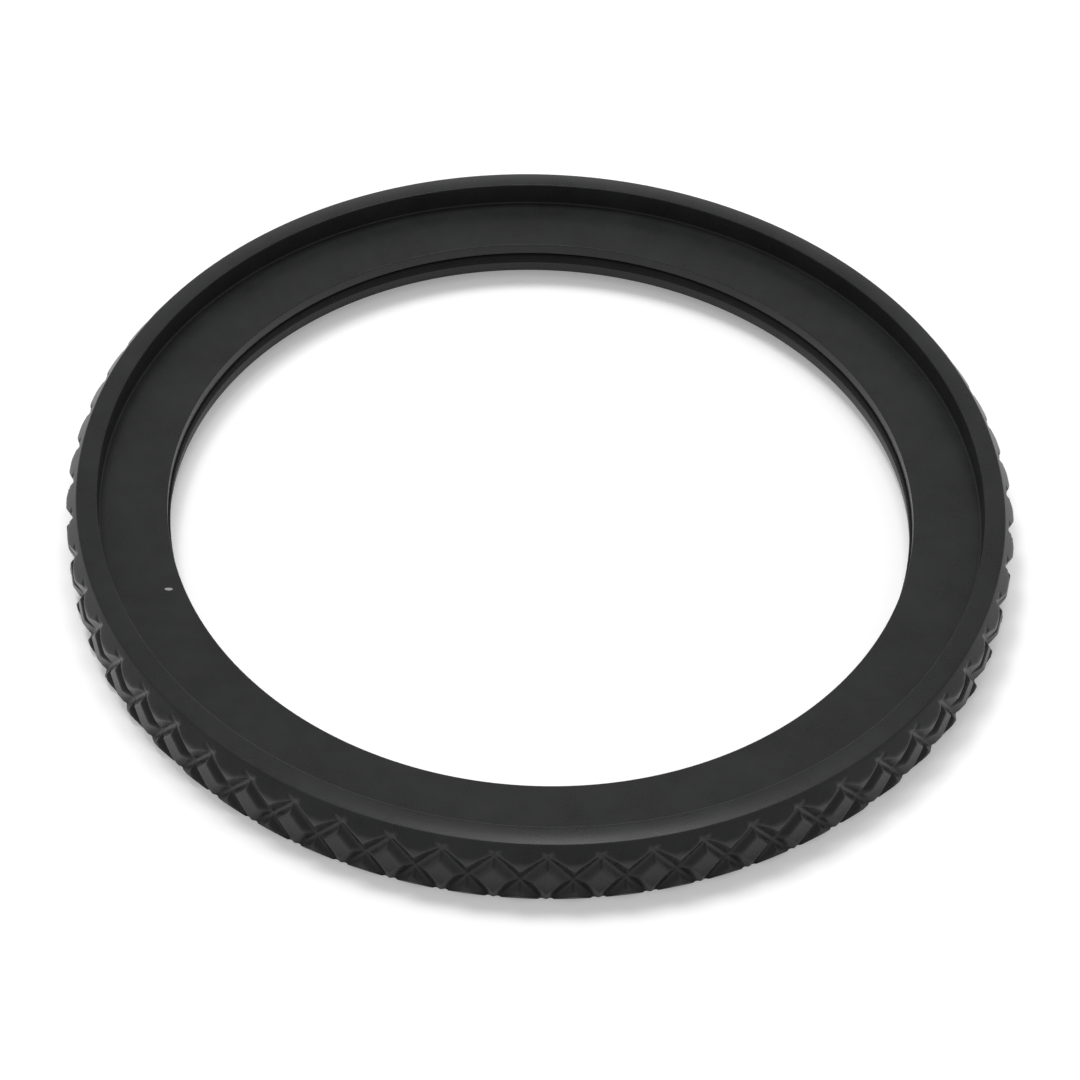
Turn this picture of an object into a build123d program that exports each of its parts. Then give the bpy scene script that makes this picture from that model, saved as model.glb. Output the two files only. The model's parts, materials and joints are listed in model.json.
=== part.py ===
from build123d import *
from math import cos, pi, radians, sin, tan
import os

# A rotating watch bezel without its insert: a knurled steel ring that snaps over
# a polymer gasket on the collar of the watch case, and turns on that gasket.
# Lengths are millimetres and angles degrees. The origin is the centre of the
# face that the ring stands on, and +Z points to the wearer.

# How far a cutting tool starts outside the face that it cuts
overrun = 0.15

# Heights of the section, stacked from the foot of the skirt upwards
skirt_drop = 0.43
snap_lip_height = 0.65
groove_height = 0.54
upper_land_height = 0.53
recess_depth = 1.09

# Widths of the top, counted outwards from the bore. The lip is flat at first and
# then falls off in a shallow bevel, before the plain cone begins.
bore_radius = 16.12
seat_width = 2.95
lip_flat_width = 0.53
lip_bevel_width = 0.35
lip_bevel_drop = 0.075
cone_width = 0.48
cone_height = 0.705

# Chamfer at the foot of the knurled band
foot_chamfer_width = 0.25
foot_chamfer_height = 0.42

# Widths of the underside: snap lip, ratchet, relief, and skirt
snap_lip_width = 0.88
relief_width = 0.45
skirt_width = 1.08

# Broken and rounded edges of the turned section
lip_rounding = 0.06
lip_crown_radius = 1.8
recess_edge_break = 0.05
seat_corner_radius = 0.08
bore_edge_break = 0.05
bore_lead_in = 0.15

# Diamond knurl: two families of straight V grooves that cross outside. The cutter
# is tilted upwards, so the upper flank of a groove is wider than its lower one.
# The upper crossings lie on the cone, so far above its foot.
knurl_count = 60
knurl_lean = 37
knurl_groove_depth = 0.33
cutter_angle = 90
cutter_tilt = 10
cutter_nose_radius = 0.12
crossing_rise = 0.13

# Ratchet teeth under the seat, for 120 clicks in a turn
ratchet_count = 120
ratchet_depth = 0.3
ratchet_land = 0.1

# Gasket groove in the bore, and the gasket in it
groove_depth = 0.42
running_clearance = 0.03
gasket_grip = 0.08
gasket_rounding_share = 0.25

# Levels and radii that follow from the sizes above
snap_lip_z = skirt_drop
groove_floor_z = snap_lip_z + snap_lip_height
groove_ceiling_z = groove_floor_z + groove_height
seat_z = groove_ceiling_z + upper_land_height
ring_height = seat_z + recess_depth
cone_top_z = ring_height - lip_bevel_drop
cone_foot_z = cone_top_z - cone_height
recess_radius = bore_radius + seat_width
lip_flat_radius = recess_radius + lip_flat_width
lip_radius = lip_flat_radius + lip_bevel_width
crest_radius = lip_radius + cone_width
groove_radius = bore_radius + groove_depth
skirt_inner_radius = crest_radius - skirt_width


def bezel_section():
    """Half section of the turned ring, with its edges broken as a lathe leaves them."""
    lip_corner = (lip_radius, cone_top_z)
    crown_corner = (lip_flat_radius, ring_height)
    recess_corner = (recess_radius, ring_height)
    seat_corner = (recess_radius, seat_z)
    bore_corner = (bore_radius, seat_z)
    with BuildSketch(Plane.XZ) as section:
        with BuildLine():
            Polyline(
                (skirt_inner_radius, 0),
                (crest_radius - foot_chamfer_width, 0),
                (crest_radius, foot_chamfer_height),
                (crest_radius, cone_foot_z),
                lip_corner,
                crown_corner,
                recess_corner,
                seat_corner,
                bore_corner,
                (bore_radius, groove_ceiling_z),
                (groove_radius, groove_ceiling_z),
                (groove_radius, groove_floor_z),
                (bore_radius, groove_floor_z),
                (bore_radius, snap_lip_z + bore_lead_in),
                (bore_radius + bore_lead_in, snap_lip_z),
                (skirt_inner_radius, snap_lip_z),
                close=True,
            )
        make_face()
        fillet(section.vertices().sort_by_distance(lip_corner)[0], lip_rounding)
        fillet(section.vertices().sort_by_distance(crown_corner)[0], lip_crown_radius)
        fillet(section.vertices().sort_by_distance(seat_corner)[0], seat_corner_radius)
        chamfer(section.vertices().sort_by_distance(recess_corner)[0], recess_edge_break)
        chamfer(section.vertices().sort_by_distance(bore_corner)[0], bore_edge_break)
    return section.sketch


def knurl_cutter(side):
    """V bar laid across the outside, leaning to one side: 1 to the right, -1 to the left."""
    half_pitch = pi * crest_radius / knurl_count
    crossing_height = half_pitch / tan(radians(knurl_lean))
    middle_z = cone_foot_z + crossing_rise - crossing_height
    lean = radians(side * knurl_lean)
    along = (0, sin(lean), cos(lean))
    half_angle = cutter_angle / 2
    tip_way = cutter_nose_radius / sin(radians(half_angle))
    nose_centre = crest_radius - knurl_groove_depth + cutter_nose_radius
    tip_radius = nose_centre - tip_way * cos(radians(cutter_tilt))
    tip_side = side * tip_way * sin(radians(cutter_tilt))
    reach = crest_radius + overrun - tip_radius
    upper_width = reach * tan(radians(half_angle + cutter_tilt))
    lower_width = reach * tan(radians(half_angle - cutter_tilt))
    tip = (0, tip_side)
    with BuildPart() as bar:
        with BuildSketch(Plane((tip_radius, 0, middle_z), x_dir=(1, 0, 0), z_dir=along)) as outline:
            with BuildLine():
                Polyline(
                    tip,
                    (reach, tip_side - side * upper_width),
                    (reach, tip_side + side * lower_width),
                    close=True,
                )
            make_face()
            fillet(outline.vertices().sort_by_distance(tip)[0], cutter_nose_radius)
        extrude(amount=ring_height / cos(lean), both=True)
    return bar.part


def ratchet_cutter():
    """Wedge between two ratchet teeth: a ramp that ends in a steep stop."""
    inner_radius = bore_radius + snap_lip_width
    length = skirt_inner_radius - relief_width - inner_radius
    gap_width = 2 * pi * inner_radius / ratchet_count - ratchet_land
    with BuildPart() as wedge:
        with BuildSketch(Plane.YZ.offset(inner_radius)):
            with BuildLine():
                Polyline(
                    (0, snap_lip_z - overrun),
                    (gap_width, snap_lip_z - overrun),
                    (gap_width, snap_lip_z + ratchet_depth),
                    (0, snap_lip_z),
                    close=True,
                )
            make_face()
        extrude(amount=length)
    return wedge.part


# Bezel ring: turned, then knurled both ways, then cut for the ratchet.
# The grooves cross half a pitch away from +X, so a diamond is centred on +X.
knurl_start = 180 / knurl_count
blank = bezel_section()
right_bar = knurl_cutter(1)
left_bar = knurl_cutter(-1)
wedge = ratchet_cutter()

with BuildPart() as bezel_ring:
    add(blank)
    revolve(axis=Axis.Z)
    with PolarLocations(0, knurl_count, start_angle=knurl_start):
        add(right_bar, mode=Mode.SUBTRACT)
    with PolarLocations(0, knurl_count, start_angle=knurl_start):
        add(left_bar, mode=Mode.SUBTRACT)
    with PolarLocations(0, ratchet_count):
        add(wedge, mode=Mode.SUBTRACT)

# Retaining gasket: a moulded ring that fills the groove with a running clearance
# and stands a little proud of the bore, where it grips the collar of the case
gasket_inner_radius = bore_radius - gasket_grip
gasket_outer_radius = groove_radius - running_clearance
gasket_height = groove_height - 2 * running_clearance
gasket_middle = (
    (gasket_inner_radius + gasket_outer_radius) / 2,
    groove_floor_z + groove_height / 2,
)

with BuildPart() as retaining_gasket:
    with BuildSketch(Plane.XZ):
        with Locations(gasket_middle):
            RectangleRounded(
                gasket_outer_radius - gasket_inner_radius,
                gasket_height,
                gasket_height * gasket_rounding_share,
            )
    revolve(axis=Axis.Z)

os.makedirs("parts", exist_ok=True)
bezel_ring.part.label = "bezel_ring"
export_step(bezel_ring.part, "parts/bezel_ring.step")
retaining_gasket.part.label = "retaining_gasket"
export_step(retaining_gasket.part, "parts/retaining_gasket.step")
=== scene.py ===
# %% [markdown]
# A watch bezel is one turned steel ring, knurled outside so that fingers can grip
# it, and a polymer gasket that lies in a groove of its bore. The imported model holds
# both at their true sizes, so it is loaded first and everything is built round it.

# %% Load the imported model
import json
from math import cos, pi, radians, sin, tan
import bmesh
import bpy
from mathutils import Matrix, Vector


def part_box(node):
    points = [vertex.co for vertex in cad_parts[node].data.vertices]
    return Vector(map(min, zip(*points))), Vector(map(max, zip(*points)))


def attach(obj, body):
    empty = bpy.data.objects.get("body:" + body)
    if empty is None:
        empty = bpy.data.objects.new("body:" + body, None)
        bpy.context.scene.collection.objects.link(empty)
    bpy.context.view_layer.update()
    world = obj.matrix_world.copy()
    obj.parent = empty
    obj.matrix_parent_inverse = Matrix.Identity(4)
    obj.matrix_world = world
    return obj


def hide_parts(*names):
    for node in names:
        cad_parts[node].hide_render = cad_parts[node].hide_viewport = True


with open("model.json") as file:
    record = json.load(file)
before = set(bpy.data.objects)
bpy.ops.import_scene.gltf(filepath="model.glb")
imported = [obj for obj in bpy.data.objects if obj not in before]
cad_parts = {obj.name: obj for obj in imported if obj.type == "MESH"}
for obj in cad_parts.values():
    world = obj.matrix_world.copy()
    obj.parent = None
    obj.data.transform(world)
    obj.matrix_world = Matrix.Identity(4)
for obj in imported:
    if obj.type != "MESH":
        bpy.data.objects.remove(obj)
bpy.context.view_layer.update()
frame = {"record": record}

mm = 0.001

# %% [markdown]
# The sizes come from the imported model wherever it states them: the knurl's outside
# and the height from the ring's own box, the bore and the recess from the record's
# mounts. The rest is typed once, in millimetres turned to metres. Heights are
# counted from the foot of the skirt, which stands on the floor at zero.

# %% Main sizes of the ring
ring_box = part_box("bezel_ring")
bore_sizes = {
    mount["name"]: mount["dims"].get("r_mm")
    for mount in frame["record"]["mounts"]
    if mount["kind"] == "bore"
}
crest_radius = ring_box[1][0]
ring_height = ring_box[1][2]
bore_radius = bore_sizes["case_bore"] * mm
recess_radius = bore_sizes["insert_recess"] * mm
lip_radius = 19.95 * mm
lip_crown_radius, lip_crown_z = 19.55 * mm, 3.225 * mm
seat_z = 2.15 * mm
cone_top_z, cone_foot_z = 3.165 * mm, 2.46 * mm
cone_slope = (crest_radius - lip_radius) / (cone_top_z - cone_foot_z)
skirt_z = 0.43 * mm
skirt_inner_radius = 19.35 * mm
groove_radius = 16.54 * mm
groove_floor_z, groove_ceiling_z = 1.08 * mm, 1.62 * mm
print("across the knurl, mm:", round(2 * crest_radius / mm, 2))
print("height, mm:", round(ring_height / mm, 2))

# %% [markdown]
# A knurled ring repeats: 60 diamonds stand round it, so a slice of 6 degrees says
# everything. The slice is a loop of rows from the foot, up the knurl, over the lip,
# down into the recess and the bore, and back along the underside. Each stretch has
# its own number of columns: many where the knurl is cut, few where a lathe only
# leaves a smooth band.

# %% The slice and its columns
diamonds = 60
slice_angle = 2 * pi / diamonds
pitch = slice_angle * crest_radius
knurl_columns = 34
turned_columns = 4
cell = pitch / knurl_columns


def even_columns(count):
    """Angles across the slice, centred on the middle of a diamond."""
    return [slice_angle * (k / count - 0.5) for k in range(count + 1)]


knurl_angles = even_columns(knurl_columns)
turned_angles = even_columns(turned_columns)
print("one knurl cell, mm:", round(cell / mm, 4))

# %% [markdown]
# The ratchet under the seat has 120 teeth, two for each diamond. A tooth is a long
# ramp, a steep stop and a short land, so its columns stand closer at the stop.

# %% Columns of the ratchet
teeth_in_slice = 2
tooth_angle = slice_angle / teeth_in_slice
ramp_share = 0.88
stop_share = 0.03
tooth_shares = (0, ramp_share / 2, ramp_share, ramp_share + stop_share)
ratchet_angles = [
    tooth_angle * (tooth + share) - slice_angle / 2
    for tooth in range(teeth_in_slice)
    for share in tooth_shares
] + [slice_angle / 2]
print("ratchet columns:", len(ratchet_angles) - 1)

# %% [markdown]
# A lathe leaves no knife edges: each corner of the section is broken a little, and
# those small faces are what catches the light as thin bright lines. Every corner is
# written as radius, height, and how far before and after it the rounding runs. A
# quadratic curve joins the two ends.

# %% Helpers for a turned section
rounding_steps = 4


def broken_corner(before, corner, after, run_in, run_out, steps):
    """Points that lead round one corner of the section."""
    start = corner + (before - corner).normalized() * run_in
    end = corner + (after - corner).normalized() * run_out
    points = []
    for k in range(steps + 1):
        t = k / steps
        points.append(start * (1 - t) ** 2 + corner * 2 * t * (1 - t) + end * t ** 2)
    return points


def section_rows(corners, steps=rounding_steps):
    """Radius and height of every row, from corners given as radius, height, run in, run out."""
    places = [Vector(corner[:2]) for corner in corners]
    rows = [places[0]]
    for k in range(1, len(corners) - 1):
        run_in, run_out = corners[k][2:]
        rows += broken_corner(*places[k - 1:k + 2], run_in, run_out, steps)
    return [tuple(row) for row in rows + [places[-1]]]


def cone_radius(z):
    """Radius of the plain cone that runs from the knurl up to the lip."""
    return lip_radius + (cone_top_z - z) * cone_slope


print("points round one corner:", rounding_steps + 1)

# %% [markdown]
# The section starts on the plain cone just under the lip and ends under the snap
# lip. The top of the lip is a shallow crown. It hardly falls beside the recess and
# falls more towards the outer edge, and it is what catches the soft band of light
# along the front.

# %% The turned section
edge_break = 0.05 * mm
fine_break = 0.03 * mm
lip_crown = 0.34 * mm
lip_edge = 0.05 * mm
seat_fillet = 0.08 * mm
bore_lead_in = 0.15 * mm
plain_cone_height = 0.12 * mm
snap_lip_band = 0.4 * mm
turned_start_z = cone_top_z - plain_cone_height
turned_end_radius = bore_radius + snap_lip_band
turned_rows = section_rows([
    (cone_radius(turned_start_z), turned_start_z),
    (lip_radius, cone_top_z, lip_edge, lip_edge),
    (lip_crown_radius, lip_crown_z, lip_crown, lip_crown),
    (recess_radius, ring_height, edge_break, edge_break),
    (recess_radius, seat_z, seat_fillet, seat_fillet),
    (bore_radius, seat_z, edge_break, edge_break),
    (bore_radius, groove_ceiling_z, fine_break, fine_break),
    (groove_radius, groove_ceiling_z, fine_break, fine_break),
    (groove_radius, groove_floor_z, fine_break, fine_break),
    (bore_radius, groove_floor_z, fine_break, fine_break),
    (bore_radius, skirt_z + bore_lead_in, fine_break, fine_break),
    (bore_radius + bore_lead_in, skirt_z, fine_break, fine_break),
    (turned_end_radius, skirt_z),
])
print("turned rows:", len(turned_rows))

# %% [markdown]
# The underside carries the ratchet between two flat bands, and the skirt hangs
# down outside it. The two rows of teeth start and end one fine step away from the
# flat rows beside them, so that the teeth have end walls of their own.

# %% The underside rows
ratchet_inner_radius = 17.0 * mm
ratchet_outer_radius = 18.9 * mm
wall_step = 0.02 * mm
zip_width = 0.2 * mm
skirt_corner_width = 0.2 * mm
skirt_foot_width = 0.06 * mm
underside_rows = [
    (turned_end_radius + zip_width, skirt_z, False),
    (ratchet_inner_radius, skirt_z, False),
    (ratchet_inner_radius + wall_step, skirt_z, True),
    (ratchet_outer_radius - wall_step, skirt_z, True),
    (ratchet_outer_radius, skirt_z, False),
]
underside_rows += [
    (radius, height, False)
    for radius, height in section_rows([
        (skirt_inner_radius - skirt_corner_width, skirt_z),
        (skirt_inner_radius, skirt_z, fine_break, fine_break),
        (skirt_inner_radius, 0, fine_break, fine_break),
        (skirt_inner_radius + skirt_foot_width, 0),
    ])
]
print("underside rows:", len(underside_rows))

# %% [markdown]
# The grooves lean by 37 degrees from the axis, so the diamonds stand taller than
# they are wide. The rows are set as far apart as a groove needs to pass one column,
# and its slanted edges then run exactly along the diagonals of the grid. The lowest
# of these rows keeps a share of a step clear of the foot, where a sliver would be
# left. Each little rectangle is split along the groove that is nearer. Split at
# random, a straight groove would come out as a row of saw teeth.

# %% The knurl rows
knurl_lean = radians(37)
knurl_middle_z = 1.17 * mm
clear_of_foot = 0.3
row_step = cell / tan(knurl_lean)
rows_below = int(knurl_middle_z / row_step - clear_of_foot)
rows_above = int((turned_start_z - knurl_middle_z) / row_step)
knurl_rows = [0.0] + [knurl_middle_z + row_step * k for k in range(-rows_below, rows_above)]
half_pitch = pitch / 2


def way_to_groove(along, height, side):
    """Distance round the ring to the nearest groove that leans to one side, at one height."""
    drift = side * tan(knurl_lean) * (height - knurl_middle_z)
    offset = (along - half_pitch - drift) % pitch
    return min(offset, pitch - offset)


def leans_right(column, row):
    """True where the nearest groove climbs to the right across this rectangle."""
    along = (knurl_angles[column] + knurl_angles[column + 1]) / 2 * crest_radius
    height = (knurl_rows[row] + knurl_rows[row + 1]) / 2
    return way_to_groove(along, height, 1) < way_to_groove(along, height, -1)


print("knurl rows:", len(knurl_rows), "up to mm:", round(knurl_rows[-1] / mm, 3))

# %% [markdown]
# Now the slice is put together as a mesh. A band is a grid of faces between rows
# that share their columns. Where two bands with different columns meet, a strip of
# triangles is laid between them like a zip: it always steps forward on the side
# that lags behind. Two marks on the points, knurled and toothed, tell the node tree
# below which points it may push.

# %% Helpers that lay bands and zips
slice_mesh = bmesh.new()
knurled_mark = slice_mesh.verts.layers.float.new("knurled")
toothed_mark = slice_mesh.verts.layers.float.new("toothed")


def lay_row(radius, height, angles, knurled=0.0, toothed=0.0):
    """One row of points across the slice."""
    row = []
    for angle in angles:
        point = slice_mesh.verts.new((radius * cos(angle), radius * sin(angle), height))
        point[knurled_mark] = knurled
        point[toothed_mark] = toothed
        row.append(point)
    return row


def lay_band(first, second):
    """Faces between two rows with the same columns."""
    for k in range(len(first) - 1):
        slice_mesh.faces.new((first[k], first[k + 1], second[k + 1], second[k]))


def zip_rows(first, first_angles, second, second_angles):
    """Triangles between two rows whose columns differ."""
    a = b = 0
    while a < len(first) - 1 or b < len(second) - 1:
        first_left = a < len(first) - 1
        second_done = b == len(second) - 1
        if first_left and (second_done or first_angles[a + 1] <= second_angles[b + 1]):
            slice_mesh.faces.new((first[a], first[a + 1], second[b]))
            a += 1
        else:
            slice_mesh.faces.new((first[a], second[b + 1], second[b]))
            b += 1


print("marks on the points:", slice_mesh.verts.layers.float.keys())

# %% [markdown]
# The knurled stretch is laid first, as triangles, then the turned stretch and the
# underside as bands. Three zips close the loop: under the lip, under the snap lip
# and at the foot.

# %% The slice of the ring
knurl_grid = [lay_row(crest_radius, z, knurl_angles, knurled=1.0) for z in knurl_rows]
for row in range(len(knurl_rows) - 1):
    for column in range(knurl_columns):
        low_left, low_right = knurl_grid[row][column:column + 2]
        top_left, top_right = knurl_grid[row + 1][column:column + 2]
        if leans_right(column, row):
            slice_mesh.faces.new((low_left, low_right, top_right))
            slice_mesh.faces.new((low_left, top_right, top_left))
        else:
            slice_mesh.faces.new((low_left, low_right, top_left))
            slice_mesh.faces.new((low_right, top_right, top_left))

turned_grid = [lay_row(radius, z, turned_angles) for radius, z in turned_rows]
underside_grid = [
    lay_row(radius, z, ratchet_angles, toothed=float(toothed))
    for radius, z, toothed in underside_rows
]
for grid in (turned_grid, underside_grid):
    for lower, upper in zip(grid, grid[1:]):
        lay_band(lower, upper)

zip_rows(knurl_grid[-1], knurl_angles, turned_grid[0], turned_angles)
zip_rows(turned_grid[-1], turned_angles, underside_grid[0], ratchet_angles)
zip_rows(underside_grid[-1], ratchet_angles, knurl_grid[0], knurl_angles)
ring_slice = bpy.data.meshes.new("knurled_ring")
slice_mesh.to_mesh(ring_slice)
slice_mesh.free()
print("faces in the slice:", len(ring_slice.polygons))

# %% [markdown]
# The cutting is a rule, so it is left to Geometry Nodes. Two helpers make a tree
# short to write: one adds a node and links its inputs, one adds a sum. A value given
# as a number is set on the socket, and a socket is linked to it.

# %% Helpers for node trees
def add_node(tree, kind, inputs=(), **settings):
    """A new node, with its settings and its inputs filled in."""
    node = tree.nodes.new(kind)
    for name, value in settings.items():
        setattr(node, name, value)
    for place, value in dict(inputs).items():
        socket = node.inputs[place]
        if isinstance(value, bpy.types.NodeSocket):
            tree.links.new(value, socket)
        else:
            socket.default_value = value
    return node


def reckon(tree, operation, *values):
    """The result of one Math node."""
    return add_node(tree, "ShaderNodeMath", enumerate(values), operation=operation).outputs[0]


# %% [markdown]
# A tree gets one named input for each size, so that its sizes can be changed without
# a look inside. To run it on a mesh, each input is set by its identifier, which stays
# even if two inputs share a name. The shading is then weighed by the size of the
# faces, so that large faces stay flat beside small ones, and the result is kept as a
# plain mesh, which is what rides on a body.

# %% Helpers that run a tree
def tree_with_inputs(name, sizes):
    """An empty geometry tree whose group inputs are named after the sizes."""
    tree = bpy.data.node_groups.new(name, "GeometryNodeTree")
    tree.interface.new_socket("Geometry", in_out="INPUT", socket_type="NodeSocketGeometry")
    for label, value in sizes.items():
        kind = "NodeSocketFloat"
        if isinstance(value, bpy.types.Material):
            kind = "NodeSocketMaterial"
        elif isinstance(value, int):
            kind = "NodeSocketInt"
        tree.interface.new_socket(label, in_out="INPUT", socket_type=kind)
    tree.interface.new_socket("Geometry", in_out="OUTPUT", socket_type="NodeSocketGeometry")
    return tree


def run_tree(tree, mesh, sizes):
    """The plain mesh that the tree makes of a mesh, with its sizes set by identifier."""
    carrier = bpy.data.objects.new(tree.name, mesh)
    bpy.context.scene.collection.objects.link(carrier)
    modifier = carrier.modifiers.new(tree.name, "NODES")
    modifier.node_group = tree
    for socket in tree.interface.items_tree:
        if socket.in_out == "INPUT" and socket.name in sizes:
            modifier[socket.identifier] = sizes[socket.name]
    soften = carrier.modifiers.new("soft edges", "WEIGHTED_NORMAL")
    soften.keep_sharp = True
    bpy.context.view_layer.update()
    evaluated = carrier.evaluated_get(bpy.context.evaluated_depsgraph_get())
    made = bpy.data.meshes.new_from_object(evaluated)
    finish = made.materials[-1]
    made.materials.clear()
    made.materials.append(finish)
    made.polygons.foreach_set("material_index", [0] * len(made.polygons))
    bpy.data.objects.remove(carrier)
    return made


# %% [markdown]
# A finish is a tree of shader nodes. No real surface is quite even, so both finishes
# vary by noise: one helper gives noise with lumps of a known size, and another
# stretches it to the limits of a shade or a dullness.

# %% Helpers for finishes
grain_roughness = 0.55
noise_low, noise_high = 0.3, 0.7


def finish_named(name):
    """A new material with an empty tree and its surface output."""
    material = bpy.data.materials.new(name)
    material.use_nodes = True
    material.node_tree.nodes.clear()
    output = material.node_tree.nodes.new("ShaderNodeOutputMaterial")
    return material, material.node_tree, output


def grain(tree, place, size, detail=2.0):
    """Noise whose lumps are about so large."""
    noise = add_node(tree, "ShaderNodeTexNoise", {
        "Vector": place, "Scale": 1 / size, "Detail": detail, "Roughness": grain_roughness,
    })
    return noise.outputs[0]


def spread(tree, value, low, high):
    """Noise stretched from its middle range to the given limits."""
    return add_node(tree, "ShaderNodeMapRange", {
        "Value": value, "From Min": noise_low, "From Max": noise_high,
        "To Min": low, "To Max": high,
    }).outputs[0]


# %% [markdown]
# The ring's finish is a matte black coating over blasted steel. It reflects only a
# few percent of the light straight on and more at a grazing angle, and its grain is
# about as fine as a hair. Small patches differ a little in depth and dullness. The
# rims of the diamonds are painted a shade paler: a painted highlight where their
# edges catch the light.

# %% The shade of the coating
speckle_size, speckle_detail = 0.07 * mm, 3.0
streak_size, patch_size = 0.5 * mm, 2.4 * mm
patch_shades, streak_shares = (0.017, 0.021), (0.93, 1.07)
patch_dullness, speckle_dullness = (0.27, 0.31), (-0.02, 0.02)
# Painted highlight: how much paler the rims of the diamonds are drawn.
rim_highlight_paleness = 0.004
green_share, blue_share = 1.03, 1.02

coating, tree, output = finish_named("blasted_black_coating")
place = add_node(tree, "ShaderNodeTexCoord").outputs["Object"]
speckle = grain(tree, place, speckle_size, speckle_detail)
patches = grain(tree, place, patch_size)
streaks = grain(tree, place, streak_size)
# The rim mark carries the painted highlight along the rims of the diamonds.
painted_rim_highlight = add_node(tree, "ShaderNodeAttribute", attribute_name="painted_rim_highlight").outputs["Fac"]
patch_shade = spread(tree, patches, *patch_shades)
shade = reckon(tree, "MULTIPLY", patch_shade, spread(tree, streaks, *streak_shares))
shade = reckon(tree, "MULTIPLY_ADD", painted_rim_highlight, rim_highlight_paleness, shade)
colour = add_node(tree, "ShaderNodeCombineColor", {
    "Red": shade,
    "Green": reckon(tree, "MULTIPLY", shade, green_share),
    "Blue": reckon(tree, "MULTIPLY", shade, blue_share),
}).outputs[0]
even_dullness = spread(tree, patches, *patch_dullness)
dullness = reckon(tree, "ADD", even_dullness, spread(tree, speckle, *speckle_dullness))
print("coating shades:", patch_shades, "dullness:", patch_dullness)

# %% [markdown]
# One nick in the coating beside the bore shows bare steel. It is a small ellipsoid
# round a point of the seat: inside it the finish is metal, outside it is coating,
# and the streaks fray its edge. It turns with the ring, so it also shows that the
# ring has turned.

# %% The nick and the skin of the coating
nick_place = Vector((-15.76, -5.73, 2.15)) * mm
nick_length, nick_width = 0.16 * mm, 0.07 * mm
nick_fraying = 0.8
nick_inside, nick_outside = 1.3, 1.5
bare_steel = (0.62, 0.61, 0.6, 1.0)
coating_relief, coating_relief_depth = 0.35, 0.004 * mm
coating_ior, coating_gloss = 1.5, 0.28

nick_frame = add_node(tree, "ShaderNodeMapping", {
    "Vector": place, "Location": nick_place, "Scale": (nick_length, nick_width, nick_length),
}, vector_type="TEXTURE")
nick_way = add_node(tree, "ShaderNodeVectorMath", {0: nick_frame.outputs[0]}, operation="LENGTH")
nick_edge = reckon(tree, "MULTIPLY_ADD", streaks, nick_fraying, nick_way.outputs["Value"])
bare = add_node(tree, "ShaderNodeMapRange", {
    "Value": nick_edge, "From Min": nick_inside, "From Max": nick_outside,
    "To Min": 1.0, "To Max": 0.0,
}).outputs[0]
base = add_node(tree, "ShaderNodeMix", {0: bare, 6: colour, 7: bare_steel}, data_type="RGBA")
relief = add_node(tree, "ShaderNodeBump", {
    "Height": speckle, "Strength": coating_relief, "Distance": coating_relief_depth,
})
skin = add_node(tree, "ShaderNodeBsdfPrincipled", {
    "Base Color": base.outputs[2], "Metallic": bare, "Roughness": dullness,
    "IOR": coating_ior, "Specular IOR Level": coating_gloss, "Normal": relief.outputs[0],
})
tree.links.new(skin.outputs[0], output.inputs["Surface"])
print("coating made, nick at mm:", [round(v / mm, 2) for v in nick_place])

# %% [markdown]
# The knurl tree takes its sizes as named inputs, so that the same tree could cut
# another knurl. The cutter has a square tip with a small rounded nose, and it is
# tilted upwards, so a groove has a wide flank above its line and a steep one below.
# A flank's angle is counted from the flat of the diamonds.

# %% Inputs of the knurl tree
cutter_half_angle, cutter_tilt = 45, 10
ring_sizes = {
    "Crest radius": crest_radius,
    "Groove depth": 0.33 * mm,
    "Cutter nose": 0.12 * mm,
    "Upper flank": radians(90 - cutter_half_angle - cutter_tilt),
    "Lower flank": radians(90 - cutter_half_angle + cutter_tilt),
    "Edge softness": 0.08 * mm,
    "Groove lean": knurl_lean,
    "Middle height": knurl_middle_z,
    "Lip radius": lip_radius,
    "Cone top": cone_top_z,
    "Cone slope": cone_slope,
    "Foot width": 0.25 * mm,
    "Foot height": 0.42 * mm,
    "Tooth depth": 0.3 * mm,
    "Tooth angle": tooth_angle,
    "Ramp share": ramp_share,
    "Stop share": stop_share,
    "Diamonds": diamonds,
    "Coating": coating,
}
knurl_tree = tree_with_inputs("knurl and ratchet", ring_sizes)
size = add_node(knurl_tree, "NodeGroupInput").outputs


def cut(operation, *values):
    """One step of the knurl tree's arithmetic."""
    return reckon(knurl_tree, operation, *values)


print("inputs of the knurl tree:", len(ring_sizes))

# %% [markdown]
# Two families of straight V grooves lean to both sides. For each point the tree
# measures the way to the nearest groove of a family, square to it: Wrap makes that
# way start again at every pitch. The nose is an arc near the line, and the flanks go
# on straight from its two ends. The tool runs straight while the ring curves away,
# so the cut gets a little shallower towards both ends.

# %% One family of grooves
spot = add_node(knurl_tree, "ShaderNodeSeparateXYZ", {
    0: add_node(knurl_tree, "GeometryNodeInputPosition").outputs[0],
}).outputs
angle = cut("ARCTAN2", spot[1], spot[0])
along = cut("MULTIPLY", angle, size["Crest radius"])
half_pitch_here = cut("DIVIDE", cut("MULTIPLY", size["Crest radius"], pi), size["Diamonds"])
minus_half_pitch = cut("MULTIPLY", half_pitch_here, -1.0)
square_on = cut("COSINE", size["Groove lean"])
nose_squared = cut("MULTIPLY", size["Cutter nose"], size["Cutter nose"])
upper_slope = cut("MULTIPLY", cut("TANGENT", size["Upper flank"]), -1.0)
lower_slope = cut("TANGENT", size["Lower flank"])
nose_reach = cut("MULTIPLY", cut("SINE", size["Upper flank"]), size["Cutter nose"])
nose_top = cut("MULTIPLY", nose_reach, -1.0)
nose_foot = cut("MULTIPLY", cut("SINE", size["Lower flank"]), size["Cutter nose"])
climb = cut("SUBTRACT", spot[2], size["Middle height"])
sideways = cut("MULTIPLY", climb, cut("TANGENT", size["Groove lean"]))
crest_across = cut("MULTIPLY", size["Crest radius"], 2.0)
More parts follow.
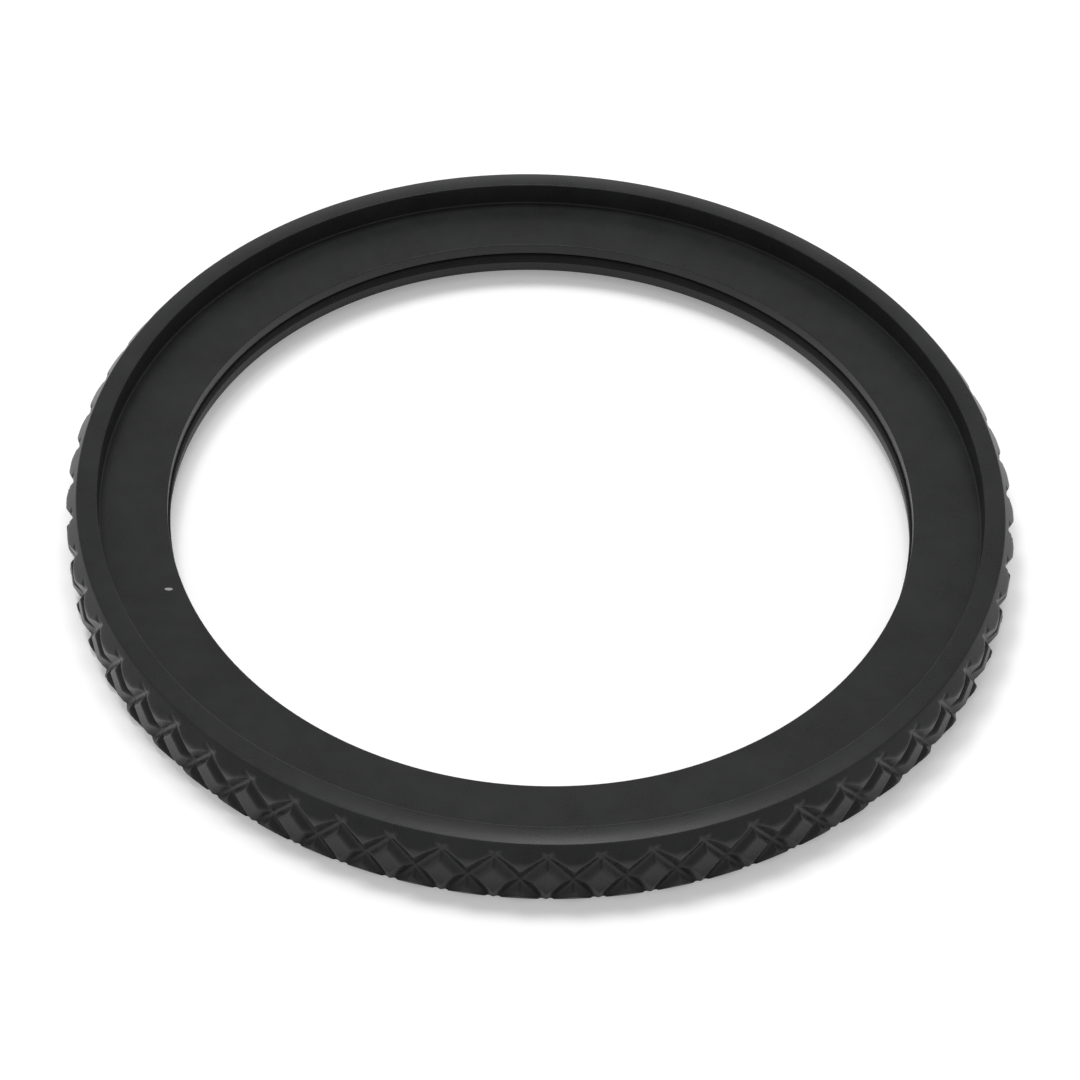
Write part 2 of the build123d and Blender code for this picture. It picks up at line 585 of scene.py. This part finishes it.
lift_off = cut("DIVIDE", cut("MULTIPLY", sideways, sideways), crest_across)
depth_here = cut("SUBTRACT", size["Groove depth"], lift_off)


def groove_depth(side):
    """How deep one family of grooves cuts at each point; negative outside them."""
    shifted = cut("SUBTRACT", along, cut("MULTIPLY_ADD", sideways, side, half_pitch_here))
    round_way = cut("WRAP", shifted, half_pitch_here, minus_half_pitch)
    way = cut("MULTIPLY", cut("MULTIPLY", round_way, side), square_on)
    on_nose = cut("MINIMUM", cut("MAXIMUM", way, nose_top), nose_foot)
    nose_height = cut("SQRT", cut("SUBTRACT", nose_squared, cut("MULTIPLY", on_nose, on_nose)))
    nose_rise = cut("SUBTRACT", size["Cutter nose"], nose_height)
    beyond = cut("SUBTRACT", way, on_nose)
    lower_rise = cut("MULTIPLY", beyond, lower_slope)
    flank_rise = cut("MAXIMUM", lower_rise, cut("MULTIPLY", beyond, upper_slope))
    return cut("SUBTRACT", depth_here, cut("ADD", nose_rise, flank_rise))


print("steps before the grooves:", len(knurl_tree.nodes))

# %% [markdown]
# The deeper of the two families wins, with a soft maximum for the blasted edges.
# The cone above and the chamfer at the foot then limit the radius, and each knurled
# point goes to the radius that is left, at its own angle and height.

# %% The knurled point
deeper = cut("SMOOTH_MAX", groove_depth(1.0), groove_depth(-1.0), size["Edge softness"])
knurl_cut = cut("SMOOTH_MAX", deeper, 0.0, size["Edge softness"])
under_lip = cut("SUBTRACT", size["Cone top"], spot[2])
cone_here = cut("MULTIPLY_ADD", under_lip, size["Cone slope"], size["Lip radius"])
foot_slope = cut("DIVIDE", size["Foot width"], size["Foot height"])
foot_radius = cut("SUBTRACT", size["Crest radius"], size["Foot width"])
foot_here = cut("MULTIPLY_ADD", spot[2], foot_slope, foot_radius)
radius = cut("SUBTRACT", size["Crest radius"], knurl_cut)
radius = cut("SMOOTH_MIN", radius, cone_here, size["Edge softness"])
radius = cut("MINIMUM", radius, foot_here)
knurled_spot = add_node(knurl_tree, "ShaderNodeCombineXYZ", {
    0: cut("MULTIPLY", radius, cut("COSINE", angle)),
    1: cut("MULTIPLY", radius, cut("SINE", angle)),
    2: spot[2],
}).outputs[0]
print("steps with the grooves:", len(knurl_tree.nodes))

# %% [markdown]
# The ratchet is a saw tooth: it climbs along the ramp and drops at the stop. The
# lower of the two lines, held at or above zero, gives that shape. The rim mark is
# strongest where a groove meets the flat of a diamond, where the edges catch the
# light. The coating reads it as a slightly paler shade: a painted highlight.

# %% The ratchet and the painted rim highlight
mark_level = 0.5
rim_highlight_share = 0.5
turn_share = cut("FRACT", cut("DIVIDE", angle, size["Tooth angle"]))
ramp = cut("DIVIDE", turn_share, size["Ramp share"])
stop_end = cut("ADD", size["Ramp share"], size["Stop share"])
stop = cut("DIVIDE", cut("SUBTRACT", stop_end, turn_share), size["Stop share"])
tooth = cut("MAXIMUM", cut("MINIMUM", ramp, stop), 0.0)
tooth_spot = add_node(knurl_tree, "ShaderNodeCombineXYZ", {
    0: spot[0], 1: spot[1], 2: cut("MULTIPLY_ADD", tooth, size["Tooth depth"], spot[2]),
}).outputs[0]
# The painted highlight: one at the rim of a diamond, falling to zero within its reach.
rim_highlight_reach = cut("MULTIPLY", size["Edge softness"], rim_highlight_share)
rim_highlight_way = cut("DIVIDE", cut("ABSOLUTE", deeper), rim_highlight_reach)
rim_highlight_mark = cut("MAXIMUM", cut("SUBTRACT", 1.0, rim_highlight_way), 0.0)


def marked(name):
    """Whether a point of the slice carries this mark."""
    mark = add_node(knurl_tree, "GeometryNodeInputNamedAttribute", {
        "Name": name,
    }, data_type="FLOAT")
    return add_node(knurl_tree, "FunctionNodeCompare", {
        0: mark.outputs[0], 1: mark_level,
    }).outputs[0]


# The painted rim highlight is stored on the knurled points for the coating.
with_rim_highlight = add_node(knurl_tree, "GeometryNodeStoreNamedAttribute", {
    "Geometry": size["Geometry"], "Selection": marked("knurled"), "Name": "painted_rim_highlight",
    "Value": rim_highlight_mark,
}, data_type="FLOAT")
with_teeth = add_node(knurl_tree, "GeometryNodeSetPosition", {
    "Geometry": with_rim_highlight.outputs[0], "Selection": marked("toothed"), "Position": tooth_spot,
})
with_knurl = add_node(knurl_tree, "GeometryNodeSetPosition", {
    "Geometry": with_teeth.outputs[0], "Selection": marked("knurled"),
    "Position": knurled_spot,
})
print("steps with the ratchet:", len(knurl_tree.nodes))

# %% [markdown]
# The last part of the tree turns the slice round the axis, one copy for each
# diamond, makes the copies real, welds the seams and gives the ring its coating.
# The export drops instances, so the tree ends by making them real.

# %% The ring of slices
weld_distance = 0.001 * mm
copies = add_node(knurl_tree, "GeometryNodePoints", {"Count": size["Diamonds"]})
turn_step = cut("DIVIDE", 2 * pi, size["Diamonds"])
turn = cut("MULTIPLY", add_node(knurl_tree, "GeometryNodeInputIndex").outputs[0], turn_step)
turning = add_node(knurl_tree, "ShaderNodeCombineXYZ", {2: turn})
ring_of_slices = add_node(knurl_tree, "GeometryNodeInstanceOnPoints", {
    "Points": copies.outputs[0], "Instance": with_knurl.outputs[0],
    "Rotation": turning.outputs[0],
})
real = add_node(knurl_tree, "GeometryNodeRealizeInstances", {0: ring_of_slices.outputs[0]})
welded = add_node(knurl_tree, "GeometryNodeMergeByDistance", {
    "Geometry": real.outputs[0], "Distance": weld_distance,
})
smooth = add_node(knurl_tree, "GeometryNodeSetShadeSmooth", {"Geometry": welded.outputs[0]})
coated = add_node(knurl_tree, "GeometryNodeSetMaterial", {
    "Geometry": smooth.outputs[0], "Material": size["Coating"],
})
add_node(knurl_tree, "NodeGroupOutput", {0: coated.outputs[0]})
ring_mesh = run_tree(knurl_tree, ring_slice, ring_sizes)
ring = bpy.data.objects.new("knurled_ring", ring_mesh)
bpy.context.scene.collection.objects.link(ring)
print("ring faces:", len(ring_mesh.polygons), "points:", len(ring_mesh.vertices))

# %% [markdown]
# The gasket is moulded in one piece from a black polymer. Its skin is a plain dark
# grey, duller than the coating, and only a little of the room shows in it.

# %% The rubber finish
skin_grain_size, skin_grain_detail = 0.12 * mm, 3.0
rubber_patch_size, rubber_shades = 1.5 * mm, (0.006, 0.009)
rubber_dullness = (0.62, 0.74)
rubber_relief, rubber_relief_depth = 0.4, 0.006 * mm
rubber_ior, rubber_gloss = 1.5, 0.15

rubber, tree, output = finish_named("dull_black_rubber")
place = add_node(tree, "ShaderNodeTexCoord").outputs["Object"]
skin_grain = grain(tree, place, skin_grain_size, skin_grain_detail)
shade = spread(tree, grain(tree, place, rubber_patch_size), *rubber_shades)
colour = add_node(tree, "ShaderNodeCombineColor", {"Red": shade, "Green": shade, "Blue": shade})
relief = add_node(tree, "ShaderNodeBump", {
    "Height": skin_grain, "Strength": rubber_relief, "Distance": rubber_relief_depth,
})
skin = add_node(tree, "ShaderNodeBsdfPrincipled", {
    "Base Color": colour.outputs[0], "Roughness": spread(tree, skin_grain, *rubber_dullness),
    "IOR": rubber_ior, "Specular IOR Level": rubber_gloss, "Normal": relief.outputs[0],
})
tree.links.new(skin.outputs[0], output.inputs["Surface"])
print("rubber shades:", rubber_shades, "dullness:", rubber_dullness)

# %% [markdown]
# The gasket fills its groove but for less than a hair, and stands a little proud of
# the bore, where it grips the watch case. Its section is a rounded oblong with a
# small ridge in the middle of its inner face: the witness line where the mould's
# halves met.

# %% The section of the gasket
gasket_grip = 0.08 * mm
gasket_corner, gasket_corner_steps = 0.12 * mm, 5
witness_height, witness_rise = 0.03 * mm, 0.012 * mm
gasket_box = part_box("retaining_gasket")
gasket_outer = gasket_box[1][0]
gasket_inner = bore_radius - gasket_grip
gasket_low, gasket_high = gasket_box[0][2], gasket_box[1][2]
gasket_middle_z = (gasket_low + gasket_high) / 2
gasket_rows = section_rows([
    (gasket_inner, gasket_middle_z - witness_height),
    (gasket_inner, gasket_low, gasket_corner, gasket_corner),
    (gasket_outer, gasket_low, gasket_corner, gasket_corner),
    (gasket_outer, gasket_high, gasket_corner, gasket_corner),
    (gasket_inner, gasket_high, gasket_corner, gasket_corner),
    (gasket_inner, gasket_middle_z + witness_height),
], gasket_corner_steps) + [(gasket_inner - witness_rise, gasket_middle_z)]

gasket_circle = (gasket_inner + gasket_outer) / 2
profile = bpy.data.meshes.new("gasket_section")
profile_edges = [(k, (k + 1) % len(gasket_rows)) for k in range(len(gasket_rows))]
profile.from_pydata([
    (radius - gasket_circle, z - gasket_middle_z, 0) for radius, z in gasket_rows
], profile_edges, [])
print("gasket section points:", len(gasket_rows))

# %% [markdown]
# A section swept round a circle is what a mould gives, so a tree sweeps it: the
# section becomes a curve, the circle is the way that it goes, and the ring that
# comes out is lifted to the height of the groove.

# %% The gasket
gasket_sizes = {
    "Circle radius": gasket_circle,
    "Circle height": gasket_middle_z,
    "Steps round": 180,
    "Rubber": rubber,
}
gasket_tree = tree_with_inputs("swept gasket", gasket_sizes)
size = add_node(gasket_tree, "NodeGroupInput").outputs
section = add_node(gasket_tree, "GeometryNodeMeshToCurve", {0: size["Geometry"]})
circle = add_node(gasket_tree, "GeometryNodeCurvePrimitiveCircle", {
    "Resolution": size["Steps round"], "Radius": size["Circle radius"],
})
swept = add_node(gasket_tree, "GeometryNodeCurveToMesh", {
    "Curve": circle.outputs[0], "Profile Curve": section.outputs[0],
})
lift = add_node(gasket_tree, "ShaderNodeCombineXYZ", {2: size["Circle height"]})
raised = add_node(gasket_tree, "GeometryNodeTransform", {
    "Geometry": swept.outputs[0], "Translation": lift.outputs[0],
})
real = add_node(gasket_tree, "GeometryNodeRealizeInstances", {0: raised.outputs[0]})
smooth = add_node(gasket_tree, "GeometryNodeSetShadeSmooth", {"Geometry": real.outputs[0]})
dressed = add_node(gasket_tree, "GeometryNodeSetMaterial", {
    "Geometry": smooth.outputs[0], "Material": size["Rubber"],
})
add_node(gasket_tree, "NodeGroupOutput", {0: dressed.outputs[0]})
gasket_mesh = run_tree(gasket_tree, profile, gasket_sizes)
gasket = bpy.data.objects.new("moulded_gasket", gasket_mesh)
bpy.context.scene.collection.objects.link(gasket)
ways = [Vector(point.co[:2]).length / mm for point in gasket_mesh.vertices]
levels = [point.co[2] / mm for point in gasket_mesh.vertices]
print("gasket faces:", len(gasket_mesh.polygons))
print("gasket radii, mm:", round(min(ways), 3), round(max(ways), 3))
print("gasket heights, mm:", round(min(levels), 3), round(max(levels), 3))

# %% [markdown]
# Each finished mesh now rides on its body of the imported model. The knurled ring
# turns with the body called bezel, and the gasket stays with the body called gasket,
# so the joint between them still works. Each takes the place of its plain solid.

# %% Ride on the bodies
for piece, body, node, slot in (
    (ring, "bezel", "bezel_ring", "coated_steel"),
    (gasket, "gasket", "retaining_gasket", "black_polymer"),
):
    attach(piece, body)
    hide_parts(node)
    print(piece.name, "rides on", body)

# %% [markdown]
# The floor is a plain pale sheet. It is matte and glows a little, so that the camera
# sees it as white while it still takes the ring's shadow. Only a share of that glow
# shows in the coating, or the knurl would look too bright.

# %% The floor
white = (1.0, 1.0, 1.0, 1.0)
paper_white = (0.84, 0.84, 0.84, 1.0)
paper_glow, mirrored_glow_share = 0.25, 0.2
floor_half = 0.25


def seen_directly(tree, mirrored_share=1.0):
    """One for rays from the camera or a clear surface, the share for glossy ones, else zero."""
    rays = add_node(tree, "ShaderNodeLightPath").outputs
    mirrored_part = reckon(tree, "MULTIPLY", rays["Is Glossy Ray"], mirrored_share)
    seen = reckon(tree, "MAXIMUM", rays["Is Camera Ray"], mirrored_part)
    return reckon(tree, "MAXIMUM", seen, rays["Is Transmission Ray"])


floor_material, tree, output = finish_named("pale_floor")
paper = add_node(tree, "ShaderNodeBsdfDiffuse", {"Color": paper_white})
floor_glow = reckon(tree, "MULTIPLY", seen_directly(tree, mirrored_glow_share), paper_glow)
glow = add_node(tree, "ShaderNodeEmission", {"Color": white, "Strength": floor_glow})
both = add_node(tree, "ShaderNodeAddShader", {0: paper.outputs[0], 1: glow.outputs[0]})
tree.links.new(both.outputs[0], output.inputs["Surface"])

floor_mesh = bpy.data.meshes.new("floor")
floor_mesh.from_pydata(
    [(x * floor_half, y * floor_half, 0.0) for x, y in ((-1, -1), (1, -1), (1, 1), (-1, 1))],
    [], [(0, 1, 2, 3)],
)
floor_mesh.materials.append(floor_material)
floor = bpy.data.objects.new("floor", floor_mesh)
bpy.context.scene.collection.objects.link(floor)
print("floor side, m:", 2 * floor_half)

# %% [markdown]
# The world is a plain pale dome. The camera sees it as white, and with the lamps it
# lights the ring at a level where a colour shows about as it is written. The coating
# mirrors the room as well: the room is darker in front, where the camera stands,
# than behind the ring, so that difference is drawn in the dome that glossy rays see.
# Higher up, both pass into one level for the ceiling.

# %% The world
dome_level = 0.5
front_level, back_level, ceiling_level = 0.3, 0.6, 0.4
front_end, back_end = -1.0, 0.2
horizon, ceiling_start = 0.0, 0.3

world = bpy.data.worlds.new("pale dome")
bpy.context.scene.world = world
world.use_nodes = True
tree = world.node_tree
tree.nodes.clear()
direction = add_node(tree, "ShaderNodeTexCoord").outputs["Generated"]
way_seen = add_node(tree, "ShaderNodeSeparateXYZ", {0: direction}).outputs
level_round = add_node(tree, "ShaderNodeMapRange", {
    "Value": way_seen[1], "From Min": front_end, "From Max": back_end,
    "To Min": front_level, "To Max": back_level,
}).outputs[0]
mirrored = add_node(tree, "ShaderNodeMapRange", {
    "Value": way_seen[2], "From Min": horizon, "From Max": ceiling_start,
    "To Min": level_round, "To Max": ceiling_level,
}).outputs[0]
rays = add_node(tree, "ShaderNodeLightPath").outputs
in_view = reckon(tree, "MAXIMUM", rays["Is Camera Ray"], rays["Is Transmission Ray"])
shown = reckon(tree, "MAXIMUM", in_view, mirrored)
level = add_node(tree, "ShaderNodeMix", {
    0: seen_directly(tree), 2: dome_level, 3: shown,
}).outputs[0]
dome = add_node(tree, "ShaderNodeBackground", {"Color": white, "Strength": level})
add_node(tree, "ShaderNodeOutputWorld", {"Surface": dome.outputs[0]})
print("dome level:", dome_level, "mirrored:", front_level, back_level, ceiling_level)

# %% [markdown]
# Three flat lamps face the ring, each placed by compass angle and height angle. The
# key lamp stands high behind the left shoulder of the ring and throws the shadow to
# the lower right, as in the photograph; it shows in no reflection. The top lamp
# draws the band of light along the crown of the lip in front. The window lamp stands
# low behind the ring and brightens the crown at the back. The photograph's own left
# and right are a small turn away from the model's, so the same turn is added to
# every lamp and to the camera.

# %% Lamps
photo_turn = radians(-2.68)
lamp_distance = 0.5


def place_lamp(name, compass, lift, width, height, level, mirrored=True):
    """A flat lamp that faces the ring; level is the light that it lays on the floor."""
    a, e = radians(compass) + photo_turn, radians(lift)
    away = Vector((cos(a) * cos(e), sin(a) * cos(e), sin(e)))
    data = bpy.data.lights.new(name, "AREA")
    data.shape = "RECTANGLE"
    data.size, data.size_y = width, height
    data.energy = level * pi ** 2 * lamp_distance ** 2 / sin(e)
    lamp = bpy.data.objects.new(name, data)
    lamp.location = away * lamp_distance
    lamp.rotation_mode = "QUATERNION"
    lamp.rotation_quaternion = away.to_track_quat("Z", "Y")
    lamp.visible_glossy = mirrored
    bpy.context.scene.collection.objects.link(lamp)
    print(name, "gives watts:", round(data.energy, 3))


place_lamp("key_lamp", compass=132, lift=70, width=0.125, height=0.125, level=0.38, mirrored=False)
place_lamp("top_lamp", compass=78, lift=74, width=0.12, height=0.12, level=0.17)
place_lamp("window_lamp", compass=90, lift=18, width=0.4, height=0.19, level=0.03)

# %% [markdown]
# The camera was worked out from the ring's own circles in the photograph: how flat
# the ellipses are gives the height angle, how much their centres drift apart gives
# the distance, and a small lean of the long axis gives the roll. A long lens from
# fifteen centimetres away keeps the perspective gentle. The shift is the middle of
# the seat as the camera sees it, counted to the right, upwards and backwards.

# %% Camera
camera_lift = radians(46.94)
camera_roll = radians(-2.73)
camera_shift = Vector((0.06, 1.92, -151.58)) * mm
focal_pixels, frame_pixels = 3500, 1080
sensor_width = 36.0
nearest, farthest = 0.005, 10.0

back = Vector((0, -cos(camera_lift), sin(camera_lift)))
right = Vector((1, 0, 0))
up = back.cross(right)
axes = Matrix.Rotation(camera_roll, 3, "Z") @ Matrix((right, up, back))
stand = -(axes.transposed() @ camera_shift) + Vector((0, 0, seat_z))
turned = Matrix.Rotation(photo_turn, 3, "Z")
camera_data = bpy.data.cameras.new("camera")
camera_data.sensor_width = sensor_width
camera_data.lens = focal_pixels / frame_pixels * sensor_width
camera_data.clip_start, camera_data.clip_end = nearest, farthest
camera = bpy.data.objects.new("camera", camera_data)
camera.matrix_world = Matrix.Translation(turned @ stand) @ (turned @ axes.transposed()).to_4x4()
bpy.context.scene.collection.objects.link(camera)
bpy.context.scene.camera = camera
bpy.context.scene.view_settings.view_transform = "Standard"
print("camera at mm:", [round(v / mm, 1) for v in camera.matrix_world.translation])

# %% [markdown]
# The last cell updates the scene once more.

# %% Final update
bpy.context.view_layer.update()
